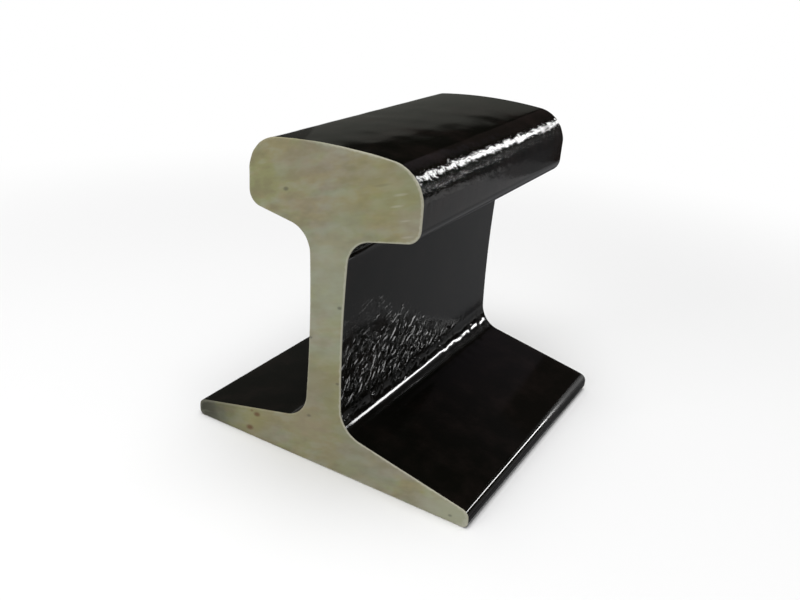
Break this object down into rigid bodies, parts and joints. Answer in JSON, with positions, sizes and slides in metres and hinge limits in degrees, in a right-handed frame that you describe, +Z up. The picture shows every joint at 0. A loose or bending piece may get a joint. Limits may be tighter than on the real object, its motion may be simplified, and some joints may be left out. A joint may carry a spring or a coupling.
{
  "type": "railway rail",
  "caption": "Short sawn piece of flat-bottom railway rail, rolled in one section with a wide sloping foot, a thin waisted web and a rounded head that wheels run on.",
  "frame": {"origin": "middle of the foot's underside, half way along the piece", "axes": "+Z up from the foot to the head, +Y along the rail, +X across it"},
  "size_m": [0.108, 0.106, 0.108],
  "materials": {
    "black_paint": "gloss black coating with a slightly lumpy surface; the sawn ends are bare, dull grey steel"
  },
  "bodies": {
    "root": {"rail": "black_paint"}
  },
  "joints": []
}
